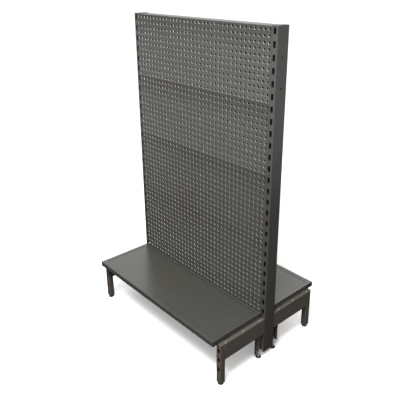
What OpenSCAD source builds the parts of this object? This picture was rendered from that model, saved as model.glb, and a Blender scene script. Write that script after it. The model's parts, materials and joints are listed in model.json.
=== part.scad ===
// Double-sided gondola shelving bay: two slotted uprights, perforated back
// panels on both faces, four base brackets on levelling feet and two base
// shelves. Millimetres, +Z up, origin on the floor under the centre of the bay.
// The front of the bay faces -Y; the rear is its mirror image in Y.

/* [Bay] */
// Distance between the slot lines of the two uprights
bay_pitch = 900; // [700:25:1250]
// Top of the caps above the floor
total_h = 1520; // [1320:100:2120]

/* [Uprights] */
// Width of the upright tube, across the bay
up_w = 30; // [28:1:40]
// Depth of the upright tube, front to rear
up_d = 66; // [60:1:80]
// Wall of the upright tube
up_t = 1.8; // [1.5:0.1:2.5]
// Outside corner radius of the upright tube
up_r = 3; // [2.5:0.5:4]
// Bottom of the upright tube above the floor
up_z0 = 25; // [20:1:30]
// Height of a slot for shelf brackets
slot_h = 25; // [20:1:30]
// Width of a slot for shelf brackets
slot_w = 13; // [8:0.5:14]
// Spacing of the slots up the upright
slot_pitch = 50; // [50:1:60]
// Thickness of the plastic cap above the tube
cap_h = 4; // [3:0.5:6]

/* [Back panels] */
// Height of a full panel with its share of the joint
panel_h = 300; // [200:100:400]
// Height of the closing panel at the bottom
panel_low_h = 100; // [100:100:200]
// Sheet thickness of the panels
sheet = 1.4; // [1.2:0.1:1.6]
// Depth of the folded edges of a panel
fold = 14; // [12:1:15]
// Spacing of the perforations both ways
perf_pitch = 25; // [25:1:30]
// Radius of a perforation at the face of the sheet
perf_r1 = 6; // [5.5:0.1:6.4]
// Radius of a perforation at the back of the sheet
perf_r2 = 5.5; // [4.6:0.1:5.5]

/* [Base shelves] */
// Top of the base shelf above the floor
shelf_z = 243; // [238:1:250]
// Depth of the base shelf from the panel face to its front edge
shelf_d = 308; // [280:1:330]
// Width of the base shelf
shelf_w = 894; // [890:1:896]
// Sheet thickness of the shelf
shelf_t = 1.2; // [1:0.1:1.5]
// Height of the front lip
lip_h = 26; // [24:1:30]
// Width of the raised border round the shelf
border = 21; // [18:1:30]

/* [Base brackets] */
// Top of the bracket arm above the floor
arm_z1 = 216; // [214:1:218]
// Bottom of the bracket arm above the floor
arm_z0 = 131; // [120:1:140]
// Front face of the front post, from the centre plane
post_y = 312; // [300:1:316]
// Depth of the front post
post_d = 27; // [25:1:30]
// Wall of the bracket parts
br_t = 1.8; // [1.5:0.1:2.5]

/* [Levelling feet] */
// Radius of the foot pad
pad_r = 13.5; // [11:0.5:14]
// Radius of the foot screw
stud_r = 5; // [4.5:0.5:5]
// Centre of the inner foot, from the centre plane
foot_in_y = 51; // [50:1:52]

/* [Hidden] */
$fn = 48;
e = 0.01;
cx = bay_pitch / 2;            // slot line
x_in = cx - up_w / 2;          // inner face of an upright
x_out = cx + up_w / 2;         // outer face of an upright
up_z1 = total_h - cap_h;
yf = up_d / 2;                 // front face of an upright
panel_top = total_h - 3.4;
face_y = yf + 1.4;             // outer face of a panel
panel_x = x_in + 2.5;          // side edge of a panel
end_x = x_in - 1.4;            // outer face of a panel's end fold
n_full = floor((panel_top - shelf_z + 60) / panel_h);
low_top = panel_top - n_full * panel_h;
n_slot = floor((up_z1 - up_z0) / slot_pitch);
slot_z0 = total_h - 20;
tie_z = [total_h - 120, total_h - 239, 356, 134];
shelf_y0 = face_y + 0.8;
shelf_y1 = shelf_y0 + shelf_d;
sx1 = shelf_w / 2;
in_y0 = yf + 1;                // rear of an inner post
in_y1 = yf + 33;               // front of an inner post
foot_out_y = post_y - post_d / 2;
hook_z = [200, 150, 100, 50];
tab_y = [100, 250];
groove = 8;                    // depth of the groove's lower edge below the shelf top

// ---------- helpers ----------
// place a right-hand, front part in one of the four quarters
module quarter(side, face) {
  mirror([side < 0 ? 1 : 0, 0, 0]) mirror([0, face < 0 ? 0 : 1, 0]) children();
}
module four() { for (s = [1, -1], f = [-1, 1]) quarter(s, f) children(); }
module both() { for (s = [1, -1]) mirror([s < 0 ? 1 : 0, 0, 0]) children(); }

module rrect(w, d, r) {
  square([w - 2 * r, d], center = true);
  square([w, d - 2 * r], center = true);
  for (i = [-1, 1], j = [-1, 1]) translate([i * (w / 2 - r), j * (d / 2 - r)]) circle(r = r);
}
module ring2(w, d, r, t) {
  difference() { rrect(w, d, r); rrect(w - 2 * t, d - 2 * t, max(r - t, 0.8)); }
}

// ---------- uprights ----------
module upright() {
  difference() {
    translate([cx, 0, up_z0]) linear_extrude(up_z1 - up_z0) ring2(up_w, up_d, up_r, up_t);
    // bracket slots in the front and rear faces
    for (i = [0:n_slot], f = [-1, 1])
      if (slot_z0 - slot_pitch * i - slot_h / 2 > up_z0 + 4)
        translate([cx - slot_w / 2, f * yf - 3, slot_z0 - slot_pitch * i - slot_h / 2])
          cube([slot_w, 6, slot_h]);
    // holes that reach the tie bar screws
    for (z = tie_z) {
      translate([x_out - 4, 0, z]) rotate([0, 90, 0]) cylinder(r = 5, h = 8);
      translate([x_in - 2, 0, z]) rotate([0, 90, 0]) cylinder(r = 3.3, h = 6);
    }
    // slots for the panel hooks in the inner face
    for (f = [-1, 1]) {
      for (k = [0:n_full - 1], d = [60, panel_h - 60])
        translate([x_in - 2, f * (yf - 8) - 1.8, panel_top - k * panel_h - d - 12]) cube([6, 3.6, 24]);
      translate([x_in - 2, f * (yf - 8) - 1.8, low_top - panel_low_h / 2 - 12]) cube([6, 3.6, 24]);
    }
  }
}
module upright_right() { color("dimgray") upright(); }
module upright_left() { color("dimgray") mirror([1, 0, 0]) upright(); }
module upright_caps() {
  color([0.16, 0.16, 0.16]) both() {
    translate([cx, 0, up_z1]) linear_extrude(cap_h) rrect(up_w, up_d, up_r);
    translate([cx, 0, up_z1 - 14]) linear_extrude(14)
      difference() {
        rrect(up_w - 2 * up_t - 0.4, up_d - 2 * up_t - 0.4, 1);
        square([up_w - 8, up_d - 8], center = true);
        // clearance beside the first slots
        for (f = [-1, 1]) translate([-slot_w / 2 - 0.5, f * yf - 5]) square([slot_w + 1, 10]);
      }
  }
}

// folded strip that closes the gap between the two skins at the top
module top_cover() {
  t = 1.2;
  w = face_y - 1.2;
  v = face_y - fold - 0.3;
  color([0.40, 0.40, 0.38]) {
    translate([-end_x, -w, panel_top]) cube([2 * end_x, 2 * w, t]);
    // skirts that reach down between the folds of the two skins
    for (s = [-1, 1]) translate([-end_x + 3, s > 0 ? v - t : -v, panel_top - 12]) cube([2 * end_x - 6, t, 12 + e]);
  }
}

// ---------- tie bars between the uprights ----------
module tie_bar(z) {
  color([0.33, 0.32, 0.30]) {
    translate([-x_in, 0, z]) rotate([0, 90, 0]) linear_extrude(2 * x_in) ring2(40, 30, 2.5, 1.5);
  }
  color([0.33, 0.32, 0.30]) both() difference() {
    translate([x_in - 12, -13.5, z - 18.5]) cube([12, 27, 37]);
    translate([x_in - 13, 0, z]) rotate([0, 90, 0]) cylinder(r = 3.05, h = 14);
  }
}
module tie_bar_top() { tie_bar(tie_z[0]); }
module tie_bar_upper() { tie_bar(tie_z[1]); }
module tie_bar_lower() { tie_bar(tie_z[2]); }
module tie_bar_bottom() { tie_bar(tie_z[3]); }
// long-head screws, each with a hexagon socket
module tie_screws() {
  color([0.7, 0.7, 0.68]) for (z = tie_z) both() difference() {
    union() {
      translate([x_in + up_t, 0, z]) rotate([0, 90, 0]) cylinder(r = 4.25, h = 21);
      translate([x_in - 14, 0, z]) rotate([0, 90, 0]) cylinder(r = 3, h = 14 + up_t + 0.5);
    }
    translate([x_in + up_t + 16, 0, z]) rotate([0, 90, 0]) cylinder(r = 2.6, h = 8, $fn = 6);
  }
}

// ---------- perforated back panels ----------
// folded section: depth runs into the bay, height upward
module panel_section(h, depth) {
  r = 2;
  difference() {
    union() {
      translate([r, 0]) square([depth - r, h]);
      translate([0, r]) square([r, h - 2 * r]);
      for (z = [r, h - r]) translate([r, z]) circle(r = r);
    }
    translate([sheet, sheet]) square([fold + 5, h - 2 * sheet]);
  }
}
module panel_hook(zc) {
  // L-shaped hook that drops behind the lower edge of its slot
  translate([end_x - e, -yf + 7, zc - 12]) cube([x_in + 5.5 - end_x, 2, 12]);
  translate([x_in + up_t + 0.5, -yf + 7, zc - 20]) cube([3.2, 2, 20]);
}
module panel(top, hgt, hooks) {
  h = hgt - 0.4;
  z0 = top - h;
  n_col = floor((bay_pitch - 50) / perf_pitch / 2);
  n_row = round(hgt / perf_pitch);
  difference() {
    union() {
      // face with its top and bottom folds
      translate([-end_x, -face_y, z0]) rotate([90, 0, 90]) linear_extrude(2 * end_x) panel_section(h, fold);
      // plain side margins of the face
      both() translate([end_x - e, -face_y, z0 + 0.6]) cube([panel_x - end_x + e, sheet, h - 1.2]);
      // end folds
      both() translate([end_x - 1.2, -face_y + 0.7, z0 + 0.7]) cube([1.2, fold + 3, h - 1.4]);
    }
    for (i = [-n_col:n_col], j = [0:n_row - 1])
      translate([perf_pitch * i, -face_y - e, top - perf_pitch * (j + 0.5)])
        rotate([-90, 0, 0]) cylinder(r1 = perf_r1, r2 = perf_r2, h = sheet + 2 * e, $fn = 20);
  }
  both() for (d = hooks) panel_hook(top - d);
}
module full_panel(k) {
  color([0.42, 0.42, 0.40]) panel(panel_top - k * panel_h, panel_h, [60, panel_h - 60]);
}
module low_panel() {
  color([0.42, 0.42, 0.40]) panel(low_top, panel_low_h, [panel_low_h / 2]);
}
module panel_front_1() { full_panel(0); }
module panel_front_2() { full_panel(1); }
module panel_front_3() { full_panel(2); }
module panel_front_4() { full_panel(3); }
module panel_front_low() { low_panel(); }
module panel_rear_1() { mirror([0, 1, 0]) full_panel(0); }
module panel_rear_2() { mirror([0, 1, 0]) full_panel(1); }
module panel_rear_3() { mirror([0, 1, 0]) full_panel(2); }
module panel_rear_4() { mirror([0, 1, 0]) full_panel(3); }
module panel_rear_low() { mirror([0, 1, 0]) low_panel(); }

// ---------- base brackets: all four are written for the right front ----------
module post() {
  color([0.35, 0.33, 0.31]) difference() {
    translate([cx, -foot_out_y, 14]) linear_extrude(arm_z1 - br_t - 14) ring2(up_w, post_d, 3.5, br_t);
    for (z = [183, 133, 83])
      translate([cx - slot_w / 2, -post_y - 3, z - slot_h / 2]) cube([slot_w, 6, slot_h]);
  }
}
module post_front_right() { quarter(1, -1) post(); }
module post_front_left() { quarter(-1, -1) post(); }
module post_rear_right() { quarter(1, 1) post(); }
module post_rear_left() { quarter(-1, 1) post(); }

// channel section of the arm, open toward the middle of the bay
module arm() {
  yb = post_y - post_d;
  color([0.38, 0.34, 0.31]) difference() {
    union() {
      // side web with its rounded top edge
      translate([x_out - br_t, -yb, arm_z0 + 2]) cube([br_t, yb - in_y0, arm_z1 - arm_z0 - 4.5]);
      translate([x_out - 2.5, -yb, 0]) rotate([-90, 0, 0]) linear_extrude(yb - in_y0)
        intersection() {
          difference() {
            union() { translate([0, -arm_z1 + 2.5]) circle(r = 2.5); translate([0, -arm_z0 - 2.5]) circle(r = 2.5); }
            translate([0, -arm_z1 + 2.5]) circle(r = 0.7);
            translate([0, -arm_z0 - 2.5]) circle(r = 0.7);
          }
          union() {
            translate([0, -arm_z1]) square([3, 2.5]);
            translate([0, -arm_z0 - 2.5]) square([3, 2.5]);
          }
        }
      // top flange, running over the front post
      translate([x_in, -yb - post_d, arm_z1 - br_t]) cube([up_w - 2.5, post_d, br_t]);
      translate([x_in, -yb, arm_z1 - br_t]) cube([up_w - 2.5, yb - in_y0, br_t]);
      translate([x_out - 2.6, -yb - post_d, arm_z1 - br_t]) cube([2.6, post_d, br_t]);
      // bottom flange, ending at the inner post
      translate([x_in, -yb, arm_z0]) cube([up_w - 2.5, yb - in_y1, br_t]);
    }
    // the bottom flange's corner stops where the inner post starts
    translate([x_in - 1, -in_y1, arm_z0 - 1]) cube([up_w - br_t + 1 - e, in_y1 - in_y0 + 5, 5]);
    // sockets for the locating tabs of the shelf
    for (y = tab_y) translate([sx1 - 5.2, -y - 11, arm_z1 - 4]) cube([2.8, 22, 8]);
  }
}
module arm_front_right() { quarter(1, -1) arm(); }
module arm_front_left() { quarter(-1, -1) arm(); }
module arm_rear_right() { quarter(1, 1) arm(); }
module arm_rear_left() { quarter(-1, 1) arm(); }

// channel section that stands against the upright, open outward
module inner_post() {
  z0 = 7;
  h = arm_z1 - br_t - 0.9 - z0;
  xo = x_out - br_t;
  color([0.36, 0.35, 0.33]) difference() {
    translate([0, 0, z0]) linear_extrude(h) difference() {
      union() {
        translate([x_in + 2.5, -in_y1]) square([xo - x_in - 2.5, in_y1 - in_y0]);
        translate([x_in, -in_y1 + 2.5]) square([3, in_y1 - in_y0 - 5]);
        for (y = [-in_y1 + 2.5, -in_y0 - 2.5]) translate([x_in + 2.5, y]) circle(r = 2.5);
      }
      translate([x_in + br_t, -in_y1 + br_t]) square([40, in_y1 - in_y0 - 2 * br_t]);
    }
    // openings for the tongues of the hook plate
    for (z = hook_z) if (z > 60)
      translate([cx - 1.6, -in_y0 - br_t - 1, z - slot_h / 2 - 0.1]) cube([3.2, br_t + 2, 12.2]);
    // the outer part of both flanges is cut away above the foot
    translate([x_in + 11, -in_y1 - 5, 0]) cube([30, in_y1 - in_y0 + 10, 42]);
    translate([x_in + 11, -in_y1 - 5, 0]) rotate([0, 0, 0]) translate([-6, 0, 0]) cube([8, in_y1 - in_y0 + 10, 20]);
  }
}
module inner_post_front_right() { quarter(1, -1) inner_post(); }
module inner_post_front_left() { quarter(-1, -1) inner_post(); }
module inner_post_rear_right() { quarter(1, 1) inner_post(); }
module inner_post_rear_left() { quarter(-1, 1) inner_post(); }

// plate with hooks that hang in the slots of the upright
module bracket_hooks() {
  color([0.36, 0.35, 0.33]) four() {
    // backing strip inside the channel, against its rear flange
    translate([cx - 1.5, -in_y0 - br_t - 14, 60]) cube([3, 14, 150]);
    for (z = hook_z) if (z > 60) {
      translate([cx - 1.5, -in_y0 - br_t - e, z - slot_h / 2]) cube([3, in_y0 - yf + br_t + up_t + 4.5, 12]);
      translate([cx - 1.5, -yf + up_t + 0.5, z - slot_h / 2 - 8]) cube([3, 3.8, 20]);
    }
  }
}

// small studs along the outer top edge of each arm
module arm_studs() {
  color([0.8, 0.8, 0.78]) four() for (y = [66, 172, 281])
    translate([x_out - 3.4, -y, arm_z1]) {
      translate([0, 0, 2.2]) rotate([0, 90, 0]) intersection() {
        cylinder(r = 4, h = 1.8, $fn = 32);
        translate([-5, -5, 0]) cube([5.01, 10, 2]);
      }
      translate([0, -4, 0]) cube([1.8, 8, 2.2]);
    }
}

// chamfered plugs in the front posts, each with a threaded bore
module plug() {
  c = 3.5;
  difference() {
    union() {
      translate([cx, -foot_out_y, 8]) linear_extrude(6) rrect(up_w, post_d, 3.5);
      translate([cx, -foot_out_y, 13.9]) linear_extrude(22) rrect(up_w - 2 * br_t - 0.2, post_d - 2 * br_t - 0.2, 1.6);
    }
    translate([cx, -foot_out_y, 0]) cylinder(r = stud_r + 0.05, h = 60);
    // chamfers round the lower edge
    for (s = [-1, 1]) {
      translate([cx + s * up_w / 2, -foot_out_y, 8]) rotate([0, 45, 0]) cube([c * sqrt(2), 60, c * sqrt(2)], center = true);
      translate([cx, -foot_out_y + s * post_d / 2, 8]) rotate([45, 0, 0]) cube([60, c * sqrt(2), c * sqrt(2)], center = true);
    }
  }
}
module post_plugs() { color([0.3, 0.29, 0.28]) four() plug(); }

// plate and weld nut that take the inner feet
module foot_nuts() {
  xo = x_out - br_t;
  color([0.75, 0.75, 0.72]) four() difference() {
    union() {
      translate([x_in + br_t, -in_y1 + br_t, 34]) cube([xo - x_in - br_t - 1, in_y1 - in_y0 - 2 * br_t, 3]);
      translate([cx - 1, -foot_in_y, 26]) cylinder(r = 9, h = 8.01, $fn = 6);
    }
    translate([cx - 1, -foot_in_y, 0]) cylinder(r = stud_r + 0.05, h = 60);
  }
}

// ---------- levelling feet ----------
module pad(x, y) {
  color([0.12, 0.12, 0.12]) translate([x, y, 0]) difference() {
    rotate_extrude() polygon([[0, 0], [pad_r - 1, 0], [pad_r, 1], [pad_r, 3], [pad_r - 1, 4], [8.4, 4.4], [7.4, 5.6], [0, 5.6]]);
    translate([0, 0, 2.5]) cylinder(r = 3.55, h = 10);
  }
}
module stud(x, y, top) {
  color([0.75, 0.75, 0.72]) translate([x, y, 0]) {
    translate([0, 0, 2.6]) cylinder(r = 3.5, h = 3.5);
    translate([0, 0, 5.8]) cylinder(r = stud_r, h = top - 5.8);
  }
}
xo1 = cx;          // outer foot
xi1 = cx - 1;      // inner foot
module pad_front_right() { pad(xo1, -foot_out_y); }
module pad_front_left() { pad(-xo1, -foot_out_y); }
module pad_rear_right() { pad(xo1, foot_out_y); }
module pad_rear_left() { pad(-xo1, foot_out_y); }
module pad_inner_front_right() { pad(xi1, -foot_in_y); }
module pad_inner_front_left() { pad(-xi1, -foot_in_y); }
module pad_inner_rear_right() { pad(xi1, foot_in_y); }
module pad_inner_rear_left() { pad(-xi1, foot_in_y); }
module stud_front_right() { stud(xo1, -foot_out_y, 62); }
module stud_front_left() { stud(-xo1, -foot_out_y, 62); }
module stud_rear_right() { stud(xo1, foot_out_y, 62); }
module stud_rear_left() { stud(-xo1, foot_out_y, 62); }
module stud_inner_front_right() { stud(xi1, -foot_in_y, 58); }
module stud_inner_front_left() { stud(-xi1, -foot_in_y, 58); }
module stud_inner_rear_right() { stud(xi1, foot_in_y, 58); }
module stud_inner_rear_left() { stud(-xi1, foot_in_y, 58); }

// ---------- base shelves: written for the front ----------
module shelf() {
  zt = shelf_z;
  t = shelf_t;
  r = 4;
  fx = sx1 - 2;            // outer face of the side folds
  side_y1 = shelf_y1 - 20; // the side folds stop short of the lip
  gz = zt - groove;        // lower edge of the groove under the top edge
  color([0.33, 0.33, 0.31]) {
    // rolled front edge, lip and its return
    translate([-sx1, 0, 0]) rotate([90, 0, 90]) linear_extrude(2 * sx1) difference() {
      union() {
        translate([-shelf_y1 + r, zt - r]) circle(r = r);
        translate([-shelf_y1, zt - lip_h + 2]) square([t, lip_h - r - 2]);
        translate([-shelf_y1 + r, zt - t]) square([border, t]);
        translate([-shelf_y1 + 2, zt - lip_h + 2]) circle(r = 2);
        translate([-shelf_y1 + 2, zt - lip_h]) square([9, t]);
      }
      translate([-shelf_y1 + r, zt - r]) circle(r = r - t);
      translate([-shelf_y1 + t, zt - lip_h + t]) square([20, lip_h - t - r]);
      translate([-shelf_y1 + r, zt - lip_h + t]) square([20, lip_h - 2 * t]);
    }
    // border, step and sunk field of the top
    translate([0, 0, zt - t]) linear_extrude(t) difference() {
      translate([-sx1, -shelf_y1 + r]) square([2 * sx1, shelf_d - r]);
      translate([-sx1 + border, -shelf_y1 + border]) square([2 * sx1 - 2 * border, shelf_d - 2 * border]);
    }
    translate([0, 0, zt - t - 1]) linear_extrude(t + 1) difference() {
      translate([-sx1 + border - t, -shelf_y1 + border - t]) square([2 * (sx1 - border + t), shelf_d - 2 * border + 2 * t]);
      translate([-sx1 + border, -shelf_y1 + border]) square([2 * sx1 - 2 * border, shelf_d - 2 * border]);
    }
    translate([-sx1 + border - t, -shelf_y1 + border - t, zt - t - 1]) cube([2 * (sx1 - border + t), shelf_d - 2 * border + 2 * t, t]);
    // side folds: set back under the top edge, then out again, and cut clear of the arm
    both() difference() {
      union() {
        translate([fx - 9, -side_y1, gz - t]) cube([t, side_y1 - shelf_y0, zt - gz + e]);
        translate([fx - 9, -side_y1, gz - t]) cube([9, side_y1 - shelf_y0, t]);
        translate([fx - t, -side_y1, arm_z1]) cube([t, side_y1 - shelf_y0, gz - arm_z1]);
      }
      translate([fx - 5, -side_y1 + 22, arm_z1 - 1]) cube([10, side_y1 - shelf_y0 - 36, 6.5]);
    }
    // rear fold
    translate([-fx, -shelf_y0 - t, arm_z1 + 1]) cube([2 * fx, t, zt - t - arm_z1 - 1 + e]);
    // end clips of the lip, each with a plate that closes the end of the channel
    both() translate([fx - 14, -side_y1 - e, arm_z1 + 8]) cube([14, t, zt - t - arm_z1 - 8 + e]);
    both() translate([sx1 - t - 0.4, -shelf_y1 + t - e, zt - lip_h + t - e])
      cube([t, shelf_y1 - t - side_y1 + 2 * e, lip_h - 2 * t + 2 * e]);
  }
}
module shelf_stiffeners() {
  t = shelf_t;
  z1 = shelf_z - shelf_t - 1;
  color([0.33, 0.33, 0.31]) for (y = [shelf_y0 + 90, shelf_y0 + 200])
    translate([-sx1 + 14, 0, 0]) rotate([90, 0, 90]) linear_extrude(2 * sx1 - 28) {
      translate([-y - 20, z1 - 18]) square([40, t]);
      translate([-y - 20, z1 - 18]) square([t, 18]);
      translate([-y + 20 - t, z1 - 18]) square([t, 18]);
      translate([-y - 32, z1 - t]) square([13.2, t]);
      translate([-y + 18.8, z1 - t]) square([13.2, t]);
    }
}
module shelf_tabs() {
  color([0.33, 0.33, 0.31]) both() for (y = tab_y)
    translate([sx1 - 2 - 2 * shelf_t, -y - 10, arm_z1 - 10])
      cube([shelf_t, 20, shelf_z - groove - shelf_t - 0.3 - arm_z1 + 10]);
}
// round-head rivets that hold the corner clips to the side folds
module shelf_rivets() {
  color([0.33, 0.33, 0.31]) both()
    translate([sx1 - 2, -shelf_y1 + 27, shelf_z - 12]) rotate([0, 90, 0]) rotate_extrude()
      polygon([[0, 0], [3.6, 0], [3.6, 0.5], [3, 1.1], [2, 1.5], [0, 1.6]]);
}
module shelf_front() { shelf(); }
module shelf_front_stiffeners() { shelf_stiffeners(); }
module shelf_front_tabs() { shelf_tabs(); }
module shelf_front_rivets() { shelf_rivets(); }
module shelf_rear() { mirror([0, 1, 0]) shelf(); }
module shelf_rear_stiffeners() { mirror([0, 1, 0]) shelf_stiffeners(); }
module shelf_rear_tabs() { mirror([0, 1, 0]) shelf_tabs(); }
module shelf_rear_rivets() { mirror([0, 1, 0]) shelf_rivets(); }

upright_right();
upright_left();
upright_caps();
top_cover();
tie_bar_top();
tie_bar_upper();
tie_bar_lower();
tie_bar_bottom();
tie_screws();
panel_front_1();
panel_front_2();
panel_front_3();
panel_front_4();
panel_front_low();
panel_rear_1();
panel_rear_2();
panel_rear_3();
panel_rear_4();
panel_rear_low();
post_front_right();
post_front_left();
post_rear_right();
post_rear_left();
arm_front_right();
arm_front_left();
arm_rear_right();
arm_rear_left();
inner_post_front_right();
inner_post_front_left();
inner_post_rear_right();
inner_post_rear_left();
bracket_hooks();
arm_studs();
post_plugs();
foot_nuts();
shelf_front();
shelf_front_stiffeners();
shelf_front_tabs();
shelf_front_rivets();
shelf_rear();
shelf_rear_stiffeners();
shelf_rear_tabs();
shelf_rear_rivets();
pad_front_right();
pad_front_left();
pad_rear_right();
pad_rear_left();
pad_inner_front_right();
pad_inner_front_left();
pad_inner_rear_right();
pad_inner_rear_left();
stud_front_right();
stud_front_left();
stud_rear_right();
stud_rear_left();
stud_inner_front_right();
stud_inner_front_left();
stud_inner_rear_right();
stud_inner_rear_left();
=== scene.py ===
import bpy, bmesh, json, math
from mathutils import Vector, Matrix


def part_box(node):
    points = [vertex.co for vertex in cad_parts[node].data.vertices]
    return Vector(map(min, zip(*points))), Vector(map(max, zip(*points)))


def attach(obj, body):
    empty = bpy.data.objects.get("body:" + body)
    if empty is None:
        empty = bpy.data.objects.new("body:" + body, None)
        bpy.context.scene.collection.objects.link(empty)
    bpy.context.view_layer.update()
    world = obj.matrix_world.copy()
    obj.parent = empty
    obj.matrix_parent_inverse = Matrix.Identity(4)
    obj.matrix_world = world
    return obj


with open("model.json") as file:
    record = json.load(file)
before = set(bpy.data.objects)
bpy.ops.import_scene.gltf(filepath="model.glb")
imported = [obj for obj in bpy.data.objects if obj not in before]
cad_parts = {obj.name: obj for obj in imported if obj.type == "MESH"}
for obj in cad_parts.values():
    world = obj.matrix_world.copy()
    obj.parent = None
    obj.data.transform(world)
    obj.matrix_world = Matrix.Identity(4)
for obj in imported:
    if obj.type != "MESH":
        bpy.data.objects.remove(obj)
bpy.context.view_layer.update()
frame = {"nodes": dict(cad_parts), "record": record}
nodes = frame["nodes"]
scene = bpy.context.scene
scene.view_settings.view_transform = "Standard"

# ------------------------------------------------------------------ camera
CAM = dict(px=1.73753, py=-1.52899, pz=1.69068, az=47.29, el=21.24, roll=0.09, f=510.0, cx=214.0, cy=174.0)
cam_d = bpy.data.cameras.new("camera")
cam = bpy.data.objects.new("camera", cam_d)
scene.collection.objects.link(cam)
scene.camera = cam
az, el, ro = (math.radians(CAM[k]) for k in ("az", "el", "roll"))
fwd = Vector((-math.sin(az) * math.cos(el), math.cos(az) * math.cos(el), -math.sin(el)))
right = Vector((math.cos(az), math.sin(az), 0))
up = right.cross(fwd)
cam_x = right * math.cos(ro) + up * math.sin(ro)
cam_y = up * math.cos(ro) - right * math.sin(ro)
cam.matrix_world = Matrix.Translation((CAM["px"], CAM["py"], CAM["pz"])) @ Matrix((cam_x, cam_y, -fwd)).transposed().to_4x4()
cam_d.sensor_width = 36.0
cam_d.lens = 36.0 * CAM["f"] / 400.0
cam_d.shift_x = (200.0 - CAM["cx"]) / 400.0
cam_d.shift_y = (CAM["cy"] - 200.0) / 400.0
cam_d.clip_start, cam_d.clip_end = 0.05, 80.0


# ------------------------------------------------------------------ mesh helper
def mesh_obj(name, verts, faces, smooth=None):
    me = bpy.data.meshes.new(name)
    me.from_pydata(verts, [], faces)
    me.update()
    if smooth is not None:
        for p, s in zip(me.polygons, smooth):
            p.use_smooth = s
    ob = bpy.data.objects.new(name, me)
    scene.collection.objects.link(ob)
    return ob


# ------------------------------------------------------------------ materials
class Tree:
    """Builds a node material step by step."""

    def __init__(self, name):
        self.mat = bpy.data.materials.new(name)
        self.mat.use_nodes = True
        self.t = self.mat.node_tree
        self.t.nodes.clear()
        self.out = self.t.nodes.new("ShaderNodeOutputMaterial")
        self.bsdf = self.t.nodes.new("ShaderNodeBsdfPrincipled")
        self.link(self.bsdf.outputs[0], self.out.inputs[0])
        self.pos = self.t.nodes.new("ShaderNodeTexCoord").outputs["Object"]

    def link(self, a, b):
        self.t.links.new(a, b)

    def noise(self, scale, detail=2.0, rough=0.5, stretch=None, distortion=0.0):
        n = self.t.nodes.new("ShaderNodeTexNoise")
        n.inputs["Scale"].default_value = scale
        n.inputs["Detail"].default_value = detail
        n.inputs["Roughness"].default_value = rough
        n.inputs["Distortion"].default_value = distortion
        src = self.pos
        if stretch:
            m = self.t.nodes.new("ShaderNodeMapping")
            m.inputs["Scale"].default_value = stretch
            self.link(self.pos, m.inputs["Vector"])
            src = m.outputs[0]
        self.link(src, n.inputs["Vector"])
        return n.outputs["Fac"]

    def ramp(self, fac, stops):
        r = self.t.nodes.new("ShaderNodeValToRGB")
        els = r.color_ramp.elements
        while len(els) < len(stops):
            els.new(0.5)
        for e, (p, c) in zip(els, stops):
            e.position = p
            e.color = (c, c, c, 1) if isinstance(c, (int, float)) else (*c, 1)
        self.link(fac, r.inputs[0])
        return r.outputs[0]

    def rng(self, fac, a, b, c, d):
        m = self.t.nodes.new("ShaderNodeMapRange")
        for i, v in zip(("From Min", "From Max", "To Min", "To Max"), (a, b, c, d)):
            m.inputs[i].default_value = v
        self.link(fac, m.inputs["Value"])
        return m.outputs[0]

    def math(self, op, a, b):
        m = self.t.nodes.new("ShaderNodeMath")
        m.operation = op
        for i, v in enumerate((a, b)):
            if isinstance(v, (int, float)):
                m.inputs[i].default_value = v
            else:
                self.link(v, m.inputs[i])
        return m.outputs[0]

    def mix(self, fac, a, b, blend="MIX"):
        m = self.t.nodes.new("ShaderNodeMix")
        m.data_type = "RGBA"
        m.blend_type = blend
        if isinstance(fac, (int, float)):
            m.inputs[0].default_value = fac
        else:
            self.link(fac, m.inputs[0])
        for i, v in ((6, a), (7, b)):
            if isinstance(v, tuple):
                m.inputs[i].default_value = (*v, 1)
            else:
                self.link(v, m.inputs[i])
        return m.outputs[2]

    def edges(self, dist):
        """1 along outer edges, 0 on flat faces."""
        a = self.t.nodes.new("ShaderNodeAmbientOcclusion")
        a.inside = True
        a.samples = 6
        a.inputs["Distance"].default_value = dist
        return self.rng(a.outputs["AO"], 0.5, 0.85, 1.0, 0.0)

    def bump(self, height, strength, dist, normal=None):
        b = self.t.nodes.new("ShaderNodeBump")
        b.inputs["Strength"].default_value = strength
        b.inputs["Distance"].default_value = dist
        self.link(height, b.inputs["Height"])
        if normal:
            self.link(normal, b.inputs["Normal"])
        return b.outputs[0]


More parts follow.
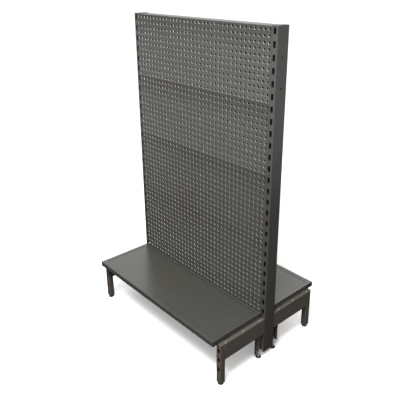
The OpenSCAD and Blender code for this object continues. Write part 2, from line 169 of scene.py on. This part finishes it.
def paint(name, base, rough=0.34, spec=0.4, tint=(1.0, 0.985, 0.95), edge_wear_highlight=0.35, grain=850.0, bump=0.25, var=0.06, rvar=1.0, cavity=False, bands=False):
    """Textured pewter powder coat: fine grain, faint clouding, edges rubbed a little lighter and partly a painted
    highlight; with bands, painted shade along panel tops and painted highlights in the perforations.
    """
    t = Tree(name)
    b = t.bsdf
    b.inputs["Specular IOR Level"].default_value = spec
    dark = tuple(base * (1 - var) * c * k for c, k in zip(tint, (1.02, 1.0, 0.98)))
    light = tuple(base * (1 + var) * c * k for c, k in zip(tint, (0.97, 1.0, 1.05)))
    cloud = t.noise(2.3, 3.0, 0.5)
    grainf = t.noise(grain, 2.0, 0.6)
    col = t.mix(t.rng(cloud, 0.35, 0.65, 0.0, 1.0), dark, light)
    fleck = t.rng(grainf, 0.35, 0.7, 0.86, 1.16)
    if bands:
        # painted shade: each panel is painted a little darker along its upper edge, less so low down
        sep = t.t.nodes.new("ShaderNodeSeparateXYZ")
        t.link(t.pos, sep.inputs[0])
        part = t.math("FRACT", t.math("DIVIDE", t.math("SUBTRACT", panel_top, sep.outputs[2]), 0.3), 0.0)
        painted_shade_band = t.ramp(part, [(0.0, 0.52), (0.12, 0.64), (0.34, 0.84), (0.8, 0.88), (1.0, 1.0)])
        fade = t.rng(sep.outputs[2], 0.62, 0.93, 0.35, 1.0)
        painted_shade_band = t.math("ADD", 0.80, t.math("MULTIPLY", t.math("SUBTRACT", painted_shade_band, 0.80), fade))
        fleck = t.math("MULTIPLY", fleck, painted_shade_band)
    if cavity:
        # dust and shade in the pressed corners
        a = t.t.nodes.new("ShaderNodeAmbientOcclusion")
        a.samples = 6
        a.inputs["Distance"].default_value = 0.007
        fleck = t.math("MULTIPLY", fleck, t.rng(a.outputs["AO"], 0.7, 0.98, 0.12, 1.0))
    m = t.t.nodes.new("ShaderNodeVectorMath")
    m.operation = "SCALE"
    t.link(col, m.inputs[0])
    t.link(fleck, m.inputs["Scale"])
    # edges rubbed a little lighter: partly wear, partly a painted highlight along edges and ridges
    lighter_edges = t.math("MULTIPLY", t.edges(0.0009), t.rng(t.noise(38.0, 3.0, 0.7), 0.42, 0.66, 0.15, 1.0))
    lighter_edges = t.math("MULTIPLY", lighter_edges, edge_wear_highlight)
    edge = tuple(min(1.0, base * 3.2) * c for c in tint)
    shade = t.mix(lighter_edges, m.outputs[0], edge)
    if bands:
        # painted highlight: the sheared wall of each perforation is painted bright and metallic
        u = t.math("SUBTRACT", t.math("FRACT", t.math("ADD", t.math("DIVIDE", sep.outputs[0], 0.025), 0.5), 0.0), 0.5)
        v = t.math("SUBTRACT", t.math("FRACT", t.math("DIVIDE", t.math("SUBTRACT", panel_top, sep.outputs[2]), 0.025), 0.0), 0.5)
        away = t.math("ADD", t.math("MULTIPLY", u, u), t.math("MULTIPLY", v, v))
        hole = t.rng(away, 0.0605, 0.0615, 1.0, 0.0)
        deep = t.rng(t.math("SUBTRACT", face_y, t.math("ABSOLUTE", sep.outputs[1], 0.0)), 0.0001, 0.0003, 0.0, 1.0)
        wall = t.math("MULTIPLY", hole, deep)
        shade = t.mix(wall, shade, RIM_HIGHLIGHT)
        t.link(t.math("MULTIPLY", wall, 0.85), b.inputs["Metallic"])
    t.link(shade, b.inputs["Base Color"])
    fine = t.noise(90.0, 3.0, 0.65)
    r = t.math("ADD", t.rng(cloud, 0.3, 0.7, rough - 0.03 * rvar, rough + 0.03 * rvar), t.rng(fine, 0.3, 0.7, -0.025 * rvar, 0.025 * rvar))
    t.link(r, b.inputs["Roughness"])
    n1 = t.bump(grainf, bump, 0.0005)
    n2 = t.bump(t.noise(210.0, 2.0, 0.5), bump * 0.4, 0.0006, n1)
    t.link(n2, b.inputs["Normal"])
    return t.mat


def punched(name, base, deep):
    """The flared wall of a perforation: painted highlight near the face, near black further in as painted shade."""
    t = Tree(name)
    b = t.bsdf
    b.inputs["Metallic"].default_value = 0.85
    sep = t.t.nodes.new("ShaderNodeSeparateXYZ")
    t.link(t.pos, sep.inputs[0])
    depth = t.math("SUBTRACT", face_y, t.math("ABSOLUTE", sep.outputs[1], 0.0))
    near = t.rng(depth, 0.0014, 0.0018, 1.0, 0.0)
    spot = t.rng(t.noise(620.0, 3.0, 0.6), 0.35, 0.7, 0.82, 1.12)
    m = t.t.nodes.new("ShaderNodeVectorMath")
    m.operation = "SCALE"
    t.link(t.mix(near, tuple(deep * c for c in (1.0, 0.98, 0.95)), base), m.inputs[0])
    t.link(spot, m.inputs["Scale"])
    t.link(m.outputs[0], b.inputs["Base Color"])
    t.link(t.rng(t.noise(300.0, 2.0, 0.5), 0.3, 0.7, 0.30, 0.42), b.inputs["Roughness"])
    t.link(t.bump(t.noise(850.0, 2.0, 0.6), 0.2, 0.0004), b.inputs["Normal"])
    return t.mat


def plastic(name, base, rough, grain=1600.0, bump=0.12, tint=(1, 1, 1)):
    t = Tree(name)
    b = t.bsdf
    b.inputs["Specular IOR Level"].default_value = 0.45
    cloud = t.noise(45.0, 4.0, 0.6)
    col = t.mix(t.rng(cloud, 0.3, 0.7, 0.0, 1.0), tuple(base * 0.82 * c for c in tint), tuple(base * 1.2 * c for c in tint))
    lighter_edges = t.math("MULTIPLY", t.edges(0.0011), t.rng(t.noise(130.0, 3.0, 0.7), 0.4, 0.65, 0.05, 0.6))
    t.link(t.mix(lighter_edges, col, tuple(min(1.0, base * 3.2 + 0.02) * c for c in tint)), b.inputs["Base Color"])
    t.link(t.rng(cloud, 0.3, 0.7, rough - 0.06, rough + 0.07), b.inputs["Roughness"])
    t.link(t.bump(t.noise(grain, 2.0, 0.6), bump, 0.0003), b.inputs["Normal"])
    return t.mat


def zinc(name):
    t = Tree(name)
    b = t.bsdf
    b.inputs["Metallic"].default_value = 0.7
    cloud = t.noise(160.0, 4.0, 0.6)
    t.link(t.mix(t.rng(cloud, 0.3, 0.7, 0.0, 1.0), (0.80, 0.80, 0.77), (0.93, 0.93, 0.90)), b.inputs["Base Color"])
    t.link(t.rng(t.noise(420.0, 3.0, 0.6), 0.3, 0.7, 0.22, 0.4), b.inputs["Roughness"])
    t.link(t.bump(t.noise(900.0, 2.0, 0.6), 0.15, 0.0003), b.inputs["Normal"])
    return t.mat


panel_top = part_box("panel_front_1")[1].z
face_y = max(abs(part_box("panel_front_1")[0].y), abs(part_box("panel_front_1")[1].y))
# painted highlight colour for the perforation walls
RIM_HIGHLIGHT = (0.72, 0.71, 0.66)
# panel, upright, bracket and shelf paints are one pewter coat: the upright and shelf paints are darker as painted
# shade, the bracket paint browner as a painted warm reflection, and the upright edges lighter as a painted highlight
MATS = {
    "panel_paint": paint("panel_paint", 0.060, 0.34, tint=(1.0, 1.0, 0.90), bands=True),
    "upright_paint": paint("upright_paint", 0.045, 0.30, tint=(1.0, 0.99, 0.94), edge_wear_highlight=0.5),
    "bracket_paint": paint("bracket_paint", 0.074, 0.30, tint=(1.06, 0.93, 0.80)),
    "shelf_paint": paint("shelf_paint", 0.045, 0.27, spec=0.5, tint=(1.02, 1.0, 0.86), bump=0.04, var=0.02, rvar=0.2, cavity=True),
    "cap_plastic": plastic("cap_plastic", 0.03, 0.42),
    "plug_plastic": plastic("plug_plastic", 0.042, 0.45, tint=(1, 0.95, 0.9)),
    "pad_plastic": plastic("pad_plastic", 0.02, 0.36),
    "zinc_plate": zinc("zinc_plate"),
}
# perforation collars: painted highlight near the face, painted shade deep in
PUNCHED = punched("punched_rim_highlight_shade", RIM_HIGHLIGHT, 0.003)
SLOT = {s["node"]: s["material_slot"] for s in frame["record"]["subparts"]}
for name, ob in nodes.items():
    ob.data.materials.clear()
    ob.data.materials.append(MATS[SLOT[name]])

# ------------------------------------------------------------------ flared collars of the perforations
# The holes are drawn through the sheet. Each goes on behind it as the drawn-in collar
# that punching leaves: a cone that narrows to a tube run 11 mm deep, longer than real, painted bright near the face as
# painted highlight and near black further in as painted shade.
def collars(name, face, rows, mat):
    """face is the outer Y of the skin, rows the heights of the holes; the collars stand toward Y = 0."""
    s = 1.0 if face > 0 else -1.0
    prof = [(5.50, 1.40), (5.22, 1.80), (5.02, 2.20), (4.92, 2.60), (4.85, 11.0), (5.15, 11.0), (5.30, 2.8), (5.9, 1.42)]
    bend = (True, True, True, True, False, True, True, False)
    seg = 12
    ring = [(math.cos(2 * math.pi * k / seg), math.sin(2 * math.pi * k / seg)) for k in range(seg)]
    verts, faces, smooth = [], [], []
    n = len(prof)
    for z in rows:
        for i in range(-17, 18):
            x0, b0 = 0.025 * i, len(verts)
            for r, d in prof:
                verts += [(x0 + r * 0.001 * c, face - s * d * 0.001, z + r * 0.001 * q) for c, q in ring]
            for p in range(n):
                p2 = (p + 1) % n
                for k in range(seg):
                    k2 = (k + 1) % seg
                    f = (b0 + p * seg + k, b0 + p * seg + k2, b0 + p2 * seg + k2, b0 + p2 * seg + k)
                    faces.append(f[::-1] if s > 0 else f)
                    smooth.append(bend[p])
    ob = mesh_obj(name, verts, faces, smooth)
    ob.data.materials.append(mat)
    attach(ob, "frame")
    return ob


for side, sgn in (("front", -1), ("rear", 1)):
    for part in ("1", "2", "3", "4", "low"):
        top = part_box("panel_%s_%s" % (side, part))[1].z
        count = 4 if part == "low" else 12
        collars("collars_%s_%s" % (side, part), sgn * face_y, [top - 0.025 * (j + 0.5) for j in range(count)], PUNCHED)

# ------------------------------------------------------------------ stage
floor = mesh_obj("floor", [(-60, -60, 0), (60, -60, 0), (60, 60, 0), (-60, 60, 0)], [(0, 1, 2, 3)])
m = bpy.data.materials.new("floor_pale")
m.use_nodes = True
b = m.node_tree.nodes["Principled BSDF"]
b.inputs["Base Color"].default_value = (0.92, 0.92, 0.92, 1)
b.inputs["Roughness"].default_value = 0.95
b.inputs["Specular IOR Level"].default_value = 0.1
b.inputs["Emission Color"].default_value = (1, 1, 1, 1)
b.inputs["Emission Strength"].default_value = 0.22
floor.data.materials.append(m)
floor.visible_diffuse = floor.visible_glossy = floor.visible_transmission = floor.visible_shadow = False

# what the object itself sees underfoot: the same floor, lit less and warmer, painted dark brown near the object and
# paler further out as painted shade
under = mesh_obj("floor_bounce", [(-60, -60, -0.004), (60, -60, -0.004), (60, 60, -0.004), (-60, 60, -0.004)], [(0, 1, 2, 3)])
under.visible_camera = False
t = Tree("floor_bounce_shade")
t.bsdf.inputs["Roughness"].default_value = 0.9
t.bsdf.inputs["Specular IOR Level"].default_value = 0.1
ln = t.t.nodes.new("ShaderNodeVectorMath")
ln.operation = "LENGTH"
t.link(t.pos, ln.inputs[0])
t.link(t.ramp(t.rng(ln.outputs["Value"], 0.6, 5.0, 0.0, 1.0), [(0.0, (0.03, 0.024, 0.018)), (0.34, (0.05, 0.042, 0.033)), (0.58, (0.40, 0.38, 0.35)), (0.8, (0.70, 0.69, 0.67))]), t.bsdf.inputs["Base Color"])
under.data.materials.append(t.mat)

# plain white backdrop all round, seen by the camera only
bv, bf = [], []
for k in range(48):
    a = 2 * math.pi * k / 48
    bv += [(56 * math.cos(a), 56 * math.sin(a), -2), (56 * math.cos(a), 56 * math.sin(a), 40)]
for k in range(48):
    k2 = (k + 1) % 48
    bf.append((2 * k, 2 * k2, 2 * k2 + 1, 2 * k + 1))
back = mesh_obj("backdrop", bv, bf)
back.visible_diffuse = back.visible_glossy = back.visible_transmission = back.visible_shadow = False
m = bpy.data.materials.new("backdrop_white")
m.use_nodes = True
nt = m.node_tree
nt.nodes.clear()
em = nt.nodes.new("ShaderNodeEmission")
em.inputs[0].default_value = (1, 1, 1, 1)
em.inputs[1].default_value = 1.0
nt.links.new(em.outputs[0], nt.nodes.new("ShaderNodeOutputMaterial").inputs[0])
m.cycles.emission_sampling = "NONE"
back.data.materials.append(m)

# ------------------------------------------------------------------ light
# soft surround: bright above and toward the rear left, dimmer and warmer on the right
w = bpy.data.worlds.new("world")
scene.world = w
w.use_nodes = True
wt = w.node_tree
bg = wt.nodes["Background"]


def wn(kind, op=None, *ins):
    n = wt.nodes.new(kind)
    if op:
        n.operation = op
    for i, v in enumerate(ins):
        if isinstance(v, (int, float)):
            n.inputs[i].default_value = v
        elif v is not None:
            wt.links.new(v, n.inputs[i])
    return n


sep = wt.nodes.new("ShaderNodeSeparateXYZ")
wt.links.new(wt.nodes.new("ShaderNodeTexCoord").outputs["Generated"], sep.inputs[0])
sx, sy, sz = sep.outputs
def wmul(a, b):
    return wn("ShaderNodeMath", "MULTIPLY", a, b).outputs[0]


def wadd(a, b):
    return wn("ShaderNodeMath", "ADD", a, b).outputs[0]


top_ = wn("ShaderNodeMath", "MAXIMUM", sz, 0.0).outputs[0]
rear_ = wn("ShaderNodeMath", "MAXIMUM", sy, 0.0).outputs[0]
right_ = wn("ShaderNodeMath", "MAXIMUM", sx, 0.0).outputs[0]
left_ = wn("ShaderNodeMath", "MAXIMUM", wmul(sx, -1.0), 0.0).outputs[0]
window = wmul(wmul(rear_, top_), wadd(wmul(left_, 5.4), 0.8))
tot = wadd(wadd(wmul(top_, 0.95), 0.14), wadd(window, wmul(right_, -0.24)))
wt.links.new(tot, bg.inputs[1])
mx = wt.nodes.new("ShaderNodeMix")
mx.data_type = "RGBA"
mr = wt.nodes.new("ShaderNodeMapRange")
mr.inputs["From Min"].default_value, mr.inputs["From Max"].default_value = -1.0, 1.0
wt.links.new(sx, mr.inputs["Value"])
wt.links.new(mr.outputs[0], mx.inputs[0])
mx.inputs[6].default_value = (0.94, 0.97, 1.0, 1)
mx.inputs[7].default_value = (1.0, 0.94, 0.87, 1)
wt.links.new(mx.outputs[2], bg.inputs[0])


def sun(name, direction, strength, angle, color=(1, 1, 1)):
    """direction points from the object toward the light."""
    d = bpy.data.lights.new(name, "SUN")
    d.energy = strength
    d.angle = math.radians(angle)
    d.color = color
    o = bpy.data.objects.new(name, d)
    o.rotation_mode = "QUATERNION"
    o.rotation_quaternion = (-Vector(direction)).to_track_quat("-Z", "Y")
    o.location = Vector(direction).normalized() * 6
    scene.collection.objects.link(o)
    return o


def area(name, loc, target, size, power, color=(1, 1, 1)):
    d = bpy.data.lights.new(name, "AREA")
    d.shape = "RECTANGLE"
    d.size, d.size_y = size
    d.energy = power
    d.color = color
    o = bpy.data.objects.new(name, d)
    o.location = loc
    o.rotation_mode = "QUATERNION"
    o.rotation_quaternion = (Vector(target) - Vector(loc)).to_track_quat("-Z", "Y")
    scene.collection.objects.link(o)
    return o


sun("key", (0.25, -0.86, 0.42), 0.50, 24)
sun("kick", (0.82, -0.35, 0.45), 0.22, 26)
area("top_box", (0.9, -1.6, 2.9), (0, 0, 1.35), (1.2, 0.7), 155)
